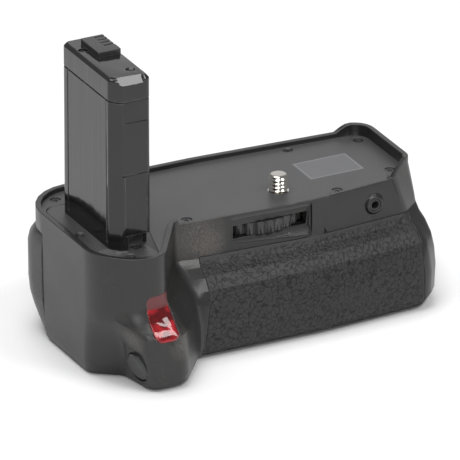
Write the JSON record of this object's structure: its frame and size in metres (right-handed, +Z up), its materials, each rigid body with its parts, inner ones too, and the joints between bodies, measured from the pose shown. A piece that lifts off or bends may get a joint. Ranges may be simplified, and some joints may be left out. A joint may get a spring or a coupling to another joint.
{
  "type": "camera battery grip",
  "caption": "Battery grip for a small reflex camera: seat with dummy-battery tower, geared thumb wheel and captive screw, infrared shutter button, rubber hand grip and sliding battery tray.",
  "frame": {"origin": "on the camera screw's axis at the camera seat's plane", "axes": "+X along the body away from the hand-grip lobe, +Y to the back, +Z up out of the seat along the camera screw"},
  "size_m": [0.1266, 0.0733, 0.1029],
  "materials": {
    "body": "fine spark-textured moulding",
    "seat": "satin moulding",
    "rubber": "leather-grained soft rubber",
    "gloss": "polished black moulding",
    "bright_metal": "turned, plated",
    "dark_screw": "black-finished steel",
    "wheel": "satin moulding",
    "contact": "gold-plated",
    "cable": "amber polyimide ribbon",
    "board": "green solder mask",
    "window": "clear red plastic",
    "diode": "tinted epoxy",
    "label": "blank printed foil",
    "socket": "black shell, metal lining",
    "switch": "small metal-topped switch"
  },
  "bodies": {
    "grip": {"upper_housing": "body", "lower_housing": "body", "grip_rubber": "rubber", "seat_plate": "seat", "seat_plate_screws": "dark_screw", "seat_label": "label", "tower_base": "seat", "tower_base_screws": "dark_screw", "tower_shell": "gloss", "tower_cap": "gloss", "tower_cap_screws": "dark_screw", "tower_contact_block": "gloss", "tower_contacts": "contact", "tower_cable": "cable", "wheel_axle": "bright_metal", "jack_bezel": "body", "jack_socket": "socket", "main_board": "board", "ir_window": "window", "ir_diode": "diode", "front_board": "board", "button_switch": "switch", "switch_plate": "board", "battery_bay": "body", "bay_contacts": "contact", "tripod_socket": "bright_metal", "housing_screws": "dark_screw"},
    "wheel": {"thumb_wheel": "wheel"},
    "screw": {"camera_screw": "bright_metal"},
    "button": {"shutter_button": "wheel"},
    "tray": {"battery_tray": "body", "tray_cover": "body", "tray_contacts": "contact"},
    "latch": {"tray_latch": "wheel"}
  },
  "joints": [
    {"name": "wheel_turn", "type": "hinge", "parent": "grip", "child": "wheel", "pos_m": [-0.00839, 0.0068, -0.0065], "axis": [0, 0, 1], "continuous": true},
    {"name": "screw_turn", "type": "hinge", "parent": "grip", "child": "screw", "pos_m": [0, 0, 0], "axis": [0, 0, 1], "continuous": true},
    {"name": "button_press", "type": "slide", "parent": "grip", "child": "button", "axis": [0.9222, 0.2005, 0.3308], "range_m": [0, 0.0012], "stiffness_N_per_m": 900, "springref_m": -0.0006},
    {"name": "tray_slide", "type": "slide", "parent": "grip", "child": "tray", "axis": [0, 1, 0], "range_m": [0, 0.048]},
    {"name": "latch_turn", "type": "hinge", "parent": "tray", "child": "latch", "pos_m": [-0.006, 0.03, -0.025], "axis": [0, -1, 0], "range_deg": [0, 90]}
  ],
  "couplings": [
    {"joint": "screw_turn", "follows": "wheel_turn", "ratio": -1}
  ]
}
